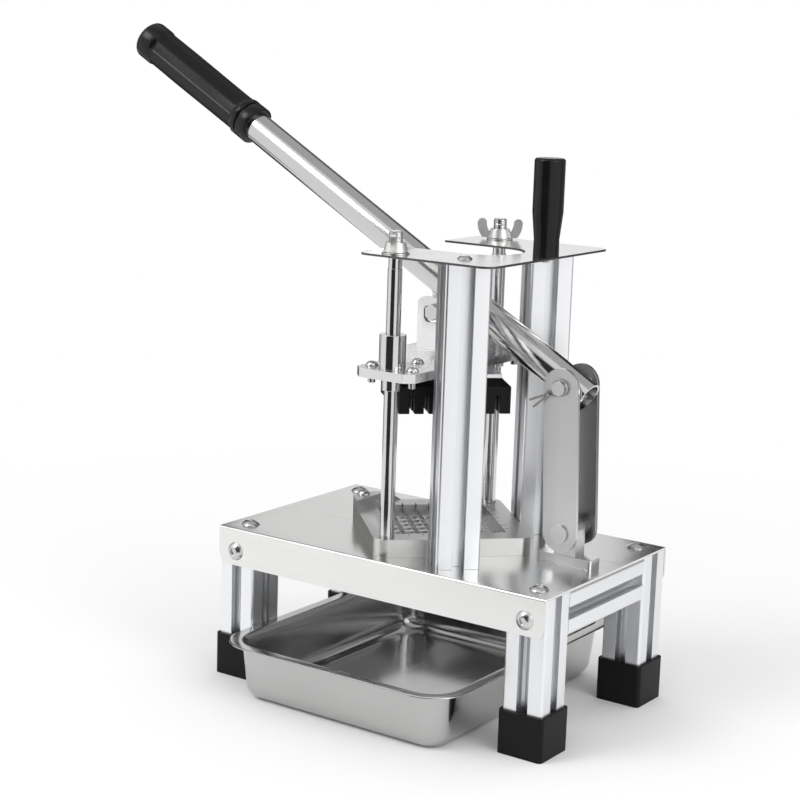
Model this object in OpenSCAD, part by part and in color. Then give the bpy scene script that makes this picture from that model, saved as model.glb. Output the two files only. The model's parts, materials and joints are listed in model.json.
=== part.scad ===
// French fry cutter: a lever press on a four-legged stand.
// Millimetres, +Z up. The origin is on the floor at the centre of the stand;
// +X runs along the stand away from the grip, and -Y is the front.

/* [Stand] */
// Length of the stand over its foot caps
base_len = 265; // [250:1:320]
// Depth of the stand over its foot caps
base_dep = 160; // [156:1:200]
// Height of the table's top face above the floor
table_h = 106; // [100:1:140]
// Thickness of the folded table sheet
sheet_t = 1.5; // [1:0.1:2.5]
// Depth of the table's front and back flanges
flange_h = 26; // [24:0.5:30]
// Wall of a rubber foot cap
cap_wall = 2; // [1.5:0.1:3]
// Height of a rubber foot cap
cap_h = 29; // [20:1:34]

/* [Extrusion] */
// Width of the square slotted aluminium extrusion
rail_w = 29; // [28:0.5:30]
// Opening of an extrusion slot
slot_w = 8; // [6:0.2:9]
// Width of an extrusion slot behind its lips
slot_in_w = 14; // [11:0.2:15]
// Depth of an extrusion slot
slot_depth = 8; // [7:0.2:8.5]

/* [Columns and head plate] */
// Distance of each column from the press axis, along the stand
column_x = 45.5; // [45:0.5:50]
// Distance of each column from the middle plane
column_y = 51; // [50.5:0.5:52]
// Height of the columns
column_h = 197; // [190:1:230]
// Thickness of the head plate
head_t = 1.5; // [1:0.1:3]
// Depth of the head plate
head_dep = 150; // [146:1:156]
// Reach of the head plate past the press axis, away from the grip
head_reach = 80; // [79:0.5:95]
// Width of the lever's slot in the head plate
head_slot_w = 54; // [46:1:58]

/* [Die and blades] */
// Place of the press axis along the stand
press_x = -2; // [-8:0.5:2]
// Outer side of the square die frame
die_side = 106; // [104:0.5:106]
// Height of the die frame
die_t = 12; // [11:0.5:14]
// Pitch of the blades, which is the width of a fry
fry_w = 9.5; // [9:0.1:9.8]
// Thickness of a blade
blade_t = 0.8; // [0.6:0.1:1]

/* [Press head] */
// Diameter of the guide rods
rod_d = 9.5; // [8:0.5:10]
// Distance of each guide rod from the middle plane
rod_y = 62; // [61:0.5:62.5]
// Height of the pusher's tips over the die at rest
press_gap = 80.5; // [76:0.5:84]
// Height of the pusher with its fingers
pusher_h = 23; // [21:0.5:26]
// Thickness of the crosshead's bar
bar_t = 6; // [5:0.5:9]
// Width of the crosshead's bar
bar_w = 46; // [42:1:46]

/* [Lever] */
// Rest angle of the lever over the horizontal
lever_tilt = 29.5; // [28:0.5:31]
// Diameter of the lever's tube
lever_d = 21; // [20:0.5:22]
// Reach of the lever from its fulcrum to the grip's end
lever_reach = 422; // [380:1:450]
// Length of the grip
grip_len = 118; // [100:1:135]
// Place of the fulcrum along the stand
pivot_x = 96; // [94:0.5:98]
// Height of the fulcrum over the table
pivot_up = 118; // [114:0.5:122]
// Place of the links' foot pin along the stand
foot_x = 100; // [98:0.5:103]
// Height of the links' foot pin over the table
foot_up = 23; // [21:0.5:26]
// Thickness of a link plate
link_t = 3; // [2:0.2:4]
// Width of a link plate
link_w = 25; // [23:0.5:27]

/* [Tray] */
// Width of the tray over its rim
tray_len = 186; // [170:1:186]
// Depth of the tray over its rim
tray_dep = 228; // [200:1:240]
// Height of the tray
tray_h = 40; // [30:1:46]
// Thickness of the tray's sheet
tray_t = 1; // [0.8:0.1:1.5]

/* [Hidden] */
$fn = 64;
// Overrun of every cut past the face that it leaves
cut = 1;
// Running clearance, on the radius
run_fit = 0.05;
// Clearance of a bolt in its hole, on the radius
bolt_fit = 0.25;
// Gap between faces of pieces that move past each other
side_gap = 0.3;

// Foot cap
cap_floor = 3;
cap_r = 3;

// Extrusion
rail_r = 2;
slot_lip = 2;
slot_in_depth = 4;
bore_r = 2.5;
rail_x = base_len/2 - cap_wall - rail_w/2;
rail_y = base_dep/2 - cap_wall - rail_w/2;
rail_top = table_h - sheet_t;
crossbar_z = rail_top - rail_w/2;

// Table
table_x = rail_x + rail_w/2;
table_y = rail_y + rail_w/2 + sheet_t;
flange_cut = 7;
chute_gap = 1;
screw_r = 3;
screw_head_r = 6.5;
screw_head_h = 3.4;
screw_socket_r = 2.6;
screw_socket_h = 1.8;
table_bolt_len = 12;
flange_screw_len = rail_w + screw_head_h*4;
nut_w_r = 7.5;
nut_h = 5.5;

// Columns
col_x = press_x + column_x;
head_z = table_h + column_h;
column_screw_r = 2.4;
column_screw_len = 14;
column_head_r = 5;
column_head_h = 2.6;

// Head plate
head_x1 = press_x + head_reach;
head_corner_r = 9;
head_arm_reach = 22;
head_x0 = press_x - head_arm_reach;
head_slot_back = 44;
head_slot_x1 = pivot_x - head_slot_back;

// Support handle
post_edge = 6;
grip_post_x = head_x1 - post_edge;
post_h = 63;
post_base_r = 8.4;
post_waist_r = 8.2;
post_top_r = 10;
post_round = 2;
post_bore_r = 2.2;
post_bore_h = 22;
post_screw_r = 2.1;

// Die
die_open = fry_w*8;
die_r = 9;
blade_count = 7;
blade_h = 4.6;
blade_edge_h = 1.6;
blade_floor = 1.3;
blade_seat = 4;
blade_slot_fit = 0.1;
blade_low_z = table_h + blade_floor;
blade_high_z = blade_low_z + blade_h + blade_slot_fit;
blade_len = die_open + blade_seat*2 - blade_slot_fit*2;
pad_h = 6;
pad_len = 15;
pad_slope = 7;
die_bolt_x = press_x - (die_open + die_side)/2*sqrt(2)/2;
die_bolt_r = 2.5;
die_bolt_head_r = 4.5;
die_bolt_head_h = 3.5;

// Guide rods and wing nuts
rod_r = rod_d/2;
rod_over = 14.5;
rod_under = 9;
rod_thread_r = rod_r - 0.35;
rod_thread_len = 24;
rod_tip = 0.8;
wing_hub_r = 8;
wing_top_r = 6.5;
wing_hub_h = 6;
washer_r = 9;
washer_t = 1;
wing_seat = head_z + head_t + washer_t + side_gap;
wing_t = 3.4;
wing_r = 15.5;
wing_band = 6.2;
wing_lift = 9.8;
wing_turn_front = 118;
wing_turn_rear = 30;

// Bushings of the crosshead
bush_r = 8.75;
bush_up = 22.5;
bush_collar_r = 6.4;
bush_down = 8;

// Pusher
pusher_side = die_open - side_gap*5;
pusher_bevel = 5;
finger_h = 12;
finger_gap = 3.4;
plate_side = 64;
plate_t = 2.5;
pusher_z = table_h + die_t + press_gap;
plate_z = pusher_z + pusher_h;
bar_z = plate_z + plate_t;
bar_top = bar_z + bar_t;
bar_end = 12.5;
bar_len = (rod_y + bar_end)*2;
bar_cut = 6;
bar_bolt_r = 2.5;
bar_bolt_head_r = 4.2;
bar_bolt_head_h = 3.4;
bar_bolt_tip = 5;
bar_bolt_x = 16;
push_bolt_y = 33;

// Links and fulcrum
pivot_z = table_h + pivot_up;
foot_z = table_h + foot_up;
link_gap = lever_d + 1.5;
link_y = link_gap/2;
link_len = sqrt(pow(pivot_x - foot_x, 2) + pow(pivot_z - foot_z, 2));
link_lean = atan2(pivot_x - foot_x, pivot_z - foot_z);
pin_r = 5;
pin_head_r = 7.5;
pin_head_h = 3;
pin_tail = 4;
bush_wall = 2.2;
pin_tail_r = 4.6;
clip_groove_r = 3.9;
clip_wire_r = 0.75;
clip_loop_r = clip_groove_r + clip_wire_r + run_fit*2;
clip_eye_r = 2;
clip_eye_x = clip_loop_r + clip_eye_r + clip_wire_r;
clip_leg = 14;
clip_spread = 9;
clip_droop = 32;
clip_out = 2;
foot_pin_r = 4.5;
foot_head_r = 6.2;
foot_head_h = 1.6;

// Base bracket
ear_r = 8;
bracket_t = 6.4;
bracket_len = 40;
bracket_dep = 13;
bracket_bolt_x = 16;
ear_t = 12;
spacer_r = 6.5;
bracket_bolt_r = 2;
bracket_head_r = 3.6;
bracket_head_h = 2;

// Lever: its own frame has +X along the tube to the grip and +Z below the tube
lever_r = lever_d/2;
tube_wall = 1.6;
tail_len = 14;
lug_drop = 15.2;
lug_t = 12;
lug_eye_r = 8.5;
lug_len = 44;
lug_along = (pivot_x - press_x - lug_drop*sin(lever_tilt))/cos(lever_tilt);
lug_bolt_r = 4;
lug_head_r = 5.6;
lug_head_h = 4;
lug_z = pivot_z + lug_along*sin(lever_tilt) - lug_drop*cos(lever_tilt);
grip_r = 13;
grip_collar_r = 14;
grip_end_r = 3;
grip_groove_r = 1.2;
grip_collar_len = 14;
grip_floor = 4;

// Motion: lever angle at its two stops, and what follows it
lever_up = 22.2;
lever_down = 56;
link_share = 0.08;
head_rate = 90.5;
motion_steps = 24;

// Turn a point of the middle plane about a centre, raising the grip's side
function turned(p, c, a) = [
    c.x + (p.x - c.x)*cos(a) + (p.y - c.y)*sin(a),
    c.y - (p.x - c.x)*sin(a) + (p.y - c.y)*cos(a)
];
// Place of the lug's bolt with the lever at angle a
function lug_at(a) = let(
    foot = [foot_x, foot_z],
    lean = -link_share*a,
    top = turned([pivot_x, pivot_z], foot, lean),
    swung = turned([press_x, lug_z], foot, lean)
) turned(swung, top, a);
// Rise of the crosshead with the lever at angle a
function head_at(a) = head_rate*a*PI/180;
motion = [for (i = [0:motion_steps]) -lever_down + (lever_up + lever_down)*i/motion_steps];
drift_x = [for (a = motion) lug_at(a).x - press_x];
drift_z = [for (a = motion) lug_at(a).y - lug_z - head_at(a)];
slot_reach = lug_bolt_r + side_gap;
slot_x0 = press_x + min(drift_x) - slot_reach;
slot_x1 = press_x + max(drift_x) + slot_reach;
slot_z0 = lug_z + min(drift_z) - slot_reach;
slot_z1 = lug_z + max(drift_z) + slot_reach;

// Clevis on the crosshead
cheek_t = 4;
cheek_gap = lever_d + side_gap*4;
cheek_y = cheek_gap/2;
cheek_wall = 5;
clevis_t = 7;
clevis_len = 46;
clevis_dep = 44;
clevis_screw_in = 5;
clevis_screw_x = clevis_len/2 - clevis_screw_in;

// Tray
tray_x = -7;
tray_lip = 9;
tray_y0 = -121;
tray_corner_r = 27;
tray_mouth_r = 19;
tray_floor_r = 15.5;
tray_round = 10;
tray_fn = 48;
tray_heel_share = 0.3;

// Shared shapes

// Square with round corners, on its centre
module rounded_square(w, r) {
    square([w - r*2, w], center = true);
    square([w, w - r*2], center = true);
    for (sx = [-1, 1], sy = [-1, 1])
        translate([sx*(w/2 - r), sy*(w/2 - r)]) circle(r = r);
}

// Rectangle with round corners, between two corner points
module rounded_box(x0, y0, x1, y1, r) {
    translate([x0 + r, y0]) square([x1 - x0 - r*2, y1 - y0]);
    translate([x0, y0 + r]) square([x1 - x0, y1 - y0 - r*2]);
    for (x = [x0 + r, x1 - r], y = [y0 + r, y1 - r])
        translate([x, y]) circle(r = r);
}

// Section of the slotted extrusion
module rail_section() {
    difference() {
        rounded_square(rail_w, rail_r);
        circle(r = bore_r);
        for (a = [0:90:270]) rotate(a) {
            translate([rail_w/2 - slot_depth, -slot_w/2]) square([slot_depth + cut, slot_w]);
            translate([rail_w/2 - slot_lip - slot_in_depth, -slot_in_w/2])
                square([slot_in_depth, slot_in_w]);
        }
    }
}

module rail(len) {
    linear_extrude(len) rail_section();
}

// Button-head screw: the head stands on z = 0 and the shank hangs below
module button_screw(r, len, head_r, head_h) {
    dome_r = (head_r*head_r + head_h*head_h)/(head_h*2);
    difference() {
        union() {
            translate([0, 0, -len]) cylinder(r = r, h = len + cut);
            rotate_extrude() intersection() {
                translate([0, head_h - dome_r]) circle(r = dome_r);
                square([head_r, head_h]);
            }
        }
        translate([0, 0, head_h - screw_socket_h])
            cylinder(r = min(screw_socket_r, head_r/2), h = head_h, $fn = 6);
    }
}

// Hexagon nut with its lower face on z = 0
module hex_nut(flat_r, h, hole_r) {
    difference() {
        cylinder(r = flat_r, h = h, $fn = 6);
        translate([0, 0, -cut]) cylinder(r = hole_r, h = h + cut*2);
    }
}

// Along +Y through the middle plane
module across() {
    rotate([90, 0, 0]) children();
}

// A plate cut from an outline in the middle plane, from y to y + t
module plate_at(y, t) {
    translate([0, y + t, 0]) across() linear_extrude(t) children();
}

// The lever's own frame, at rest
module on_lever() {
    translate([pivot_x, 0, pivot_z]) rotate([0, 180 + lever_tilt, 0]) children();
}

// The press's own frame: on the press axis, turned by an eighth of a turn
module on_press(z) {
    translate([press_x, 0, z]) rotate(45) children();
}

// Stand

module leg(sx, sy) {
    color("silver") difference() {
        translate([sx*rail_x, sy*rail_y, cap_floor]) rail(rail_top - cap_floor);
        translate([sx*rail_x, sy*base_dep/2, crossbar_z]) rotate([90*sy, 0, 0])
            translate([0, 0, -cut]) cylinder(r = screw_r + bolt_fit, h = rail_w + cap_wall + cut*2);
    }
}

module foot_cap(sx, sy) {
    color("#202020") translate([sx*rail_x, sy*rail_y, 0]) {
        difference() {
            linear_extrude(cap_h) rounded_square(rail_w + cap_wall*2, cap_r);
            translate([0, 0, cap_floor]) linear_extrude(cap_h) rounded_square(rail_w, rail_r);
        }
        for (a = [0:90:270]) rotate(a)
            translate([rail_w/2 - slot_lip, -slot_w/2 + run_fit, cap_floor - run_fit])
                cube([slot_lip + cap_wall/2, slot_w - run_fit*2, cap_h - cap_floor + run_fit]);
    }
}

module crossbar(sx) {
    len = (rail_y - rail_w/2)*2;
    color("silver") translate([sx*rail_x, len/2, crossbar_z]) across() rail(len);
}

// Channel outline of the folded sheet, across the stand
module sheet_outline(half, top, low, r) {
    translate([-half + r, low]) square([(half - r)*2, top - low]);
    translate([-half, low]) square([half*2, top - r - low]);
    for (s = [-1, 1]) translate([s*(half - r), top - r]) circle(r = r);
}

// Corner cut off below the flange's end
module flange_corner() {
    polygon([
        [table_x - flange_cut/2, table_h - flange_h - cut],
        [table_x + cut, table_h - flange_h - cut],
        [table_x + cut, table_h - flange_h + flange_cut],
        [table_x, table_h - flange_h + flange_cut]
    ]);
}

module table_plate() {
    flange_low = table_h - flange_h;
    hole_z = rail_top - cut;
    hole_h = sheet_t + cut*2;
    color("lightgray") difference() {
        translate([-table_x, 0, 0]) rotate([90, 0, 90]) linear_extrude(table_x*2) difference() {
            sheet_outline(table_y, table_h, flange_low, sheet_t);
            translate([-table_y + sheet_t, flange_low - cut])
                square([(table_y - sheet_t)*2, flange_h - sheet_t + cut]);
        }
        for (s = [0, 1]) mirror([s, 0, 0]) translate([0, table_y + cut, 0])
            across() linear_extrude((table_y + cut)*2) flange_corner();
        on_press(hole_z) linear_extrude(hole_h) rounded_square(die_open + chute_gap*2, rail_r);
        for (sx = [-1, 1], sy = [-1, 1]) {
            translate([sx*rail_x, sy*rail_y, hole_z]) cylinder(r = screw_r + bolt_fit, h = hole_h);
            translate([sx*rail_x, sy*(table_y + cut), crossbar_z]) rotate([90*sy, 0, 0])
                cylinder(r = screw_r + bolt_fit, h = sheet_t + cut*2);
        }
        for (sy = [-1, 1]) {
            translate([press_x, sy*rod_y, hole_z]) cylinder(r = rod_r + bolt_fit, h = hole_h);
            translate([col_x, sy*column_y, hole_z])
                cylinder(r = column_screw_r + bolt_fit, h = hole_h);
        }
        translate([die_bolt_x, 0, hole_z]) cylinder(r = die_bolt_r + bolt_fit, h = hole_h);
        for (sx = [-1, 1]) translate([foot_x + sx*bracket_bolt_x, 0, hole_z])
            cylinder(r = bracket_bolt_r + bolt_fit, h = hole_h);
    }
}

module table_bolts() {
    color("gainsboro") for (sx = [-1, 1], sy = [-1, 1])
        translate([sx*rail_x, sy*rail_y, table_h])
            button_screw(bore_r - run_fit, table_bolt_len, screw_head_r, screw_head_h);
}

module flange_screws() {
    color("gainsboro") for (sx = [-1, 1], sy = [-1, 1])
        translate([sx*rail_x, sy*table_y, crossbar_z]) rotate([-90*sy, 0, 0])
            button_screw(bore_r - run_fit, flange_screw_len, screw_head_r, screw_head_h);
}

// Columns, head plate and support handle

module column(sy) {
    color("silver") translate([col_x, sy*column_y, table_h]) rotate(45) rail(column_h);
}

module column_screws() {
    color("gainsboro") for (sy = [-1, 1]) translate([col_x, sy*column_y, 0]) {
        translate([0, 0, head_z + head_t])
            button_screw(column_screw_r, column_screw_len, column_head_r, column_head_h);
        translate([0, 0, rail_top]) rotate([180, 0, 0])
            button_screw(column_screw_r, column_screw_len, column_head_r, column_head_h);
    }
}

module head_outline() {
    difference() {
        union() {
            rounded_box(head_x0, -head_dep/2, head_x1, head_dep/2, head_corner_r);
        }
        translate([head_slot_x1 - head_slot_w/2, 0]) circle(r = head_slot_w/2);
        translate([head_x0 - cut, -head_slot_w/2])
            square([head_slot_x1 - head_slot_w/2 - head_x0 + cut, head_slot_w]);
    }
}

module head_plate() {
    color("gainsboro") translate([0, 0, head_z]) linear_extrude(head_t) difference() {
        head_outline();
        for (s = [-1, 1]) {
            translate([press_x, s*rod_y]) circle(r = rod_r + bolt_fit);
            translate([col_x, s*column_y]) circle(r = column_screw_r + bolt_fit);
        }
        translate([grip_post_x, 0]) circle(r = post_screw_r + bolt_fit);
    }
}

module support_handle() {
    color("#202020") translate([grip_post_x, 0, head_z + head_t]) rotate_extrude() difference() {
        union() {
            polygon([
                [0, 0],
                [post_base_r, 0],
                [post_waist_r, post_h*0.18],
                [post_top_r, post_h*0.46],
                [post_top_r, post_h - post_round],
                [post_top_r - post_round, post_h],
                [0, post_h]
            ]);
            translate([post_top_r - post_round, post_h - post_round]) circle(r = post_round);
        }
        translate([-cut, -cut]) square([post_bore_r + cut, post_bore_h + cut]);
        translate([-post_top_r*2, -cut]) square([post_top_r*2, post_h + cut*2]);
    }
}

module handle_screw() {
    color("gainsboro") translate([grip_post_x, 0, head_z]) rotate([180, 0, 0])
        button_screw(post_screw_r, post_bore_h*0.8, column_head_r, column_head_h);
}

// Guide rods

module guide_rod(sy) {
    z0 = rail_top - rod_under;
    z1 = head_z + head_t + rod_over;
    color("silver") translate([press_x, sy*rod_y, 0]) {
        translate([0, 0, z0]) cylinder(r = rod_r, h = z1 - rod_thread_len - z0);
        translate([0, 0, z1 - rod_thread_len]) cylinder(r = rod_thread_r, h = rod_thread_len - rod_tip);
        translate([0, 0, z1 - rod_tip]) cylinder(r1 = rod_thread_r, r2 = rod_thread_r - rod_tip, h = rod_tip);
    }
}

module rod_nuts() {
    color("gainsboro") for (sy = [-1, 1]) translate([press_x, sy*rod_y, rail_top - nut_h])
        hex_nut(nut_w_r, nut_h, rod_r + run_fit);
}

module rod_washers() {
    color("gainsboro") for (sy = [-1, 1]) translate([press_x, sy*rod_y, head_z + head_t])
        difference() {
            cylinder(r = washer_r, h = washer_t);
            translate([0, 0, -cut]) cylinder(r = rod_r + bolt_fit, h = washer_t + cut*2);
        }
}

// Outline of both wings: a crescent that opens upwards, with round tips
module wing_outline() {
    intersection() {
        translate([0, wing_lift]) {
            difference() {
                circle(r = wing_r);
                circle(r = wing_r - wing_band);
                translate([-wing_r*2, 0]) square([wing_r*4, wing_r*2]);
            }
            for (s = [-1, 1]) translate([s*(wing_r - wing_band/2), 0]) circle(r = wing_band/2);
        }
        translate([-wing_r*2, 0]) square([wing_r*4, wing_r*4]);
    }
}

module wing_nut(sy, turn) {
    color("silver") translate([press_x, sy*rod_y, wing_seat]) rotate(turn) difference() {
        union() {
            cylinder(r1 = wing_hub_r, r2 = wing_top_r, h = wing_hub_h);
            translate([0, wing_t/2, 0]) across() linear_extrude(wing_t) wing_outline();
        }
        translate([0, 0, -cut]) cylinder(r = rod_thread_r + run_fit, h = wing_r*2);
    }
}

// Die frame and blades

module die_outline() {
    difference() {
        rounded_square(die_side, die_r);
        square(die_open, center = true);
    }
}

// Side view of the raised pad on the die's corner over the bolt
module pad_profile() {
    pad_x = press_x - die_side;
    pad_x1 = die_bolt_x + pad_len/2;
    polygon([
        [pad_x, table_h + die_t],
        [pad_x1 + pad_slope, table_h + die_t],
        [pad_x1, table_h + die_t + pad_h],
        [pad_x, table_h + die_t + pad_h]
    ]);
}

module blade_slots(z) {
    for (i = [1:blade_count])
        translate([-blade_len/2 - blade_slot_fit, -die_open/2 + fry_w*i - blade_t/2 - blade_slot_fit, z])
            cube([blade_len + blade_slot_fit*2, blade_t + blade_slot_fit*2, die_t]);
}

module die_frame() {
    color("darkgray") difference() {
        union() {
            on_press(table_h) linear_extrude(die_t) die_outline();
            intersection() {
                on_press(table_h) linear_extrude(die_t + pad_h) die_outline();
                translate([0, die_side/2, 0]) across() linear_extrude(die_side) pad_profile();
            }
        }
        on_press(blade_low_z - blade_slot_fit) blade_slots(0);
        on_press(blade_high_z) rotate(90) blade_slots(0);
        for (sy = [-1, 1]) translate([press_x, sy*rod_y, table_h - cut])
            cylinder(r = rod_r + bolt_fit, h = die_t + cut*2);
        translate([die_bolt_x, 0, table_h - cut])
            cylinder(r = die_bolt_r + bolt_fit, h = die_t + pad_h + cut*2);
    }
}

// Blades of one layer, each with its edge up
module blades(z) {
    translate([-blade_len/2, 0, z]) for (i = [1:blade_count])
        translate([0, -die_open/2 + fry_w*i, 0]) rotate([90, 0, 90]) linear_extrude(blade_len)
            polygon([
                [-blade_t/2, 0],
                [blade_t/2, 0],
                [blade_t/2, blade_h - blade_edge_h],
                [0, blade_h],
                [-blade_t/2, blade_h - blade_edge_h]
            ]);
}

module blades_lower() {
    color("whitesmoke") on_press(blade_low_z) blades(0);
}

module blades_upper() {
    color("whitesmoke") on_press(blade_high_z) rotate(90) blades(0);
}

module die_bolt() {
    color("gainsboro") translate([die_bolt_x, 0, table_h + die_t + pad_h])
        button_screw(die_bolt_r, die_t + pad_h + sheet_t + nut_h, die_bolt_head_r, die_bolt_head_h);
}

module die_nut() {
    color("gainsboro") translate([die_bolt_x, 0, rail_top - nut_h*0.8])
        hex_nut(nut_w_r*0.65, nut_h*0.8, die_bolt_r + run_fit);
}

// Base bracket and links

module base_bracket() {
    color("gainsboro") difference() {
        union() {
            translate([0, 0, table_h]) linear_extrude(bracket_t)
                rounded_box(foot_x - bracket_len/2, -bracket_dep/2, foot_x + bracket_len/2, bracket_dep/2,
                    rail_r);
            plate_at(-ear_t/2, ear_t) {
                translate([foot_x, foot_z]) circle(r = ear_r);
                translate([foot_x - ear_r, table_h]) square([ear_r*2, foot_up]);
            }
        }
        translate([foot_x, link_y, foot_z]) across()
            cylinder(r = foot_pin_r, h = link_y*2);
        for (sx = [-1, 1]) translate([foot_x + sx*bracket_bolt_x, 0, table_h - cut])
            cylinder(r = bracket_bolt_r + run_fit, h = bracket_t*0.8 + cut);
    }
}

module bracket_screws() {
    color("gainsboro") for (sx = [-1, 1]) translate([foot_x + sx*bracket_bolt_x, 0, rail_top])
        rotate([180, 0, 0])
            button_screw(bracket_bolt_r, sheet_t + bracket_t*0.7, bracket_head_r, bracket_head_h);
}

// Rings on the foot pin between the bracket's ear and the links
module foot_spacers() {
    gap = link_y - ear_t/2 - side_gap;
    color("silver") for (s = [0, 1]) mirror([0, s, 0]) translate([foot_x, ear_t/2 + gap, foot_z])
        across() difference() {
            cylinder(r = spacer_r, h = gap);
            translate([0, 0, -cut]) cylinder(r = foot_pin_r + run_fit, h = gap + cut*2);
        }
}

module foot_pin() {
    out = link_y + link_t + side_gap;
    color("gainsboro") translate([foot_x, 0, foot_z]) {
        translate([0, out, 0]) across() cylinder(r = foot_pin_r, h = out*2);
        for (s = [0, 1]) mirror([0, s, 0]) translate([0, out + foot_head_h, 0])
            across() cylinder(r = foot_head_r, h = foot_head_h);
    }
}

// A link plate from y to y + t, drawn upright and then leaned on its foot pin
module link_plate(y) {
    translate([foot_x, y + link_t, foot_z]) rotate([0, link_lean, 0])
        across() linear_extrude(link_t) difference() {
            union() {
                circle(r = link_w/2);
                translate([-link_w/2, 0]) square([link_w, link_len]);
                translate([0, link_len]) circle(r = link_w/2);
            }
            circle(r = foot_pin_r + run_fit);
            translate([0, link_len]) circle(r = pin_r);
        }
}

module link_plate_front() {
    color("darkgray") link_plate(-link_y - link_t);
}

module link_plate_rear() {
    color("dimgray") link_plate(link_y);
}

module fulcrum_pin() {
    out = link_y + link_t;
    color("silver") translate([pivot_x, 0, pivot_z]) difference() {
        union() {
            translate([0, out, 0]) across() cylinder(r = pin_r, h = out*2);
            translate([0, out + pin_head_h, 0]) across() cylinder(r = pin_head_r, h = pin_head_h);
            translate([0, -out, 0]) across() cylinder(r = pin_tail_r, h = pin_tail);
        }
        translate([0, -out - clip_out + clip_wire_r + run_fit, 0]) across() difference() {
            cylinder(r = pin_r + cut, h = (clip_wire_r + run_fit)*2);
            cylinder(r = clip_groove_r, h = (clip_wire_r + run_fit)*2);
        }
    }
}

// Outline of the spring clip: a loop round the pin, an eye, and two legs that spread
module clip_outline() {
    difference() {
        union() {
            circle(r = clip_loop_r + clip_wire_r);
            translate([clip_eye_x, 0]) circle(r = clip_eye_r + clip_wire_r);
        }
        circle(r = clip_loop_r - clip_wire_r);
        translate([clip_eye_x, 0]) circle(r = clip_eye_r - clip_wire_r);
    }
    for (k = [-1, 1]) translate([clip_eye_x + clip_eye_r, 0]) rotate(clip_spread*k)
        translate([0, clip_wire_r*(k - 1)]) square([clip_leg, clip_wire_r*2]);
}

module hairpin_clip() {
    y = -link_y - link_t - clip_out + clip_wire_r;
    color("silver") translate([pivot_x, y, pivot_z]) rotate([0, 180 - clip_droop, 0])
        across() linear_extrude(clip_wire_r*2) clip_outline();
}

// Lever

module lever_tube() {
    color("silver") on_lever() difference() {
        translate([-tail_len, 0, 0]) rotate([0, 90, 0])
            cylinder(r = lever_r, h = lever_reach + tail_len - grip_floor);
        translate([-tail_len - cut, 0, 0]) rotate([0, 90, 0])
            cylinder(r = lever_r - tube_wall, h = lever_reach + tail_len - grip_floor + cut*2);
        translate([0, lever_d, 0]) across() cylinder(r = pin_r + bush_wall, h = lever_d*2);
    }
}

module fulcrum_bush() {
    half = link_y - side_gap;
    color("silver") on_lever() translate([0, half, 0]) across() difference() {
        cylinder(r = pin_r + bush_wall, h = half*2);
        translate([0, 0, -cut]) cylinder(r = pin_r + run_fit, h = half*2 + cut*2);
    }
}

module lever_lug() {
    color("gainsboro") on_lever() difference() {
        translate([0, lug_t/2, 0]) across() linear_extrude(lug_t) {
            translate([lug_along, lug_drop]) circle(r = lug_eye_r);
            polygon([
                [lug_along - lug_len/2, 0],
                [lug_along + lug_len/2, 0],
                [lug_along + lug_eye_r, lug_drop],
                [lug_along - lug_eye_r, lug_drop]
            ]);
        }
        translate([lug_along - lug_len, 0, 0]) rotate([0, 90, 0])
            cylinder(r = lever_r + run_fit, h = lug_len*2);
        translate([lug_along, lug_t, lug_drop]) across()
            cylinder(r = lug_bolt_r, h = lug_t*2);
    }
}

module lug_bolt() {
    out = cheek_y + cheek_t + side_gap;
    color("gainsboro") on_lever() translate([lug_along, 0, lug_drop]) {
        translate([0, out + nut_h, 0]) across() cylinder(r = lug_bolt_r, h = out*2 + nut_h);
        translate([0, -out, 0]) across() cylinder(r = lug_head_r, h = lug_head_h, $fn = 6);
    }
}

module lug_nut() {
    out = cheek_y + cheek_t + side_gap;
    color("gainsboro") on_lever() translate([lug_along, out + nut_h, lug_drop]) across()
        hex_nut(lug_head_r, nut_h, lug_bolt_r + run_fit);
}

// Half outline of the grip along the lever: collars, grooves and a fuller middle
module grip_outline() {
    x0 = lever_reach - grip_len;
    difference() {
        union() {
            translate([x0, 0]) square([grip_len, grip_r]);
            translate([x0, 0]) square([grip_collar_len, grip_collar_r]);
            translate([lever_reach - grip_collar_len, 0]) square([grip_collar_len - grip_end_r, grip_collar_r]);
            translate([lever_reach - grip_end_r, grip_collar_r - grip_end_r]) circle(r = grip_end_r);
        }
        for (x = [x0 + grip_collar_len, lever_reach - grip_collar_len])
            translate([x, grip_collar_r]) circle(r = grip_groove_r);
        translate([x0 - cut, -cut]) square([grip_len - grip_floor + cut, lever_r + run_fit + cut]);
        translate([x0 - cut, -grip_collar_r*2]) square([grip_len + cut*2, grip_collar_r*2]);
        translate([lever_reach - grip_end_r, grip_collar_r - grip_end_r])
            difference() {
                square(grip_end_r + cut);
                circle(r = grip_end_r);
            }
    }
}

module lever_grip() {
    color("#202020") on_lever() rotate([0, 90, 0]) rotate_extrude() rotate(90) mirror([0, 1]) grip_outline();
}

// Press head

module crosshead_bar() {
    w = bar_w/2;
    l = bar_len/2;
    color("lightgray") translate([press_x, 0, bar_z]) linear_extrude(bar_t) difference() {
        polygon([
            [-w, -l + bar_cut], [-w + bar_cut, -l], [w - bar_cut, -l], [w, -l + bar_cut],
            [w, l - bar_cut], [w - bar_cut, l], [-w + bar_cut, l], [-w, l - bar_cut]
        ]);
        for (s = [-1, 1]) {
            translate([0, s*rod_y]) circle(r = bush_r);
            translate([-bar_bolt_x, s*rod_y]) circle(r = bar_bolt_r + bolt_fit);
            translate([bar_bolt_x, s*rod_y]) circle(r = bar_bolt_r + bolt_fit);
        }
        for (s = [-1, 1]) {
            translate([0, s*push_bolt_y]) circle(r = bar_bolt_r + bolt_fit);
            translate([s*clevis_screw_x, 0]) circle(r = bracket_bolt_r + bolt_fit);
        }
    }
}

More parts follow.
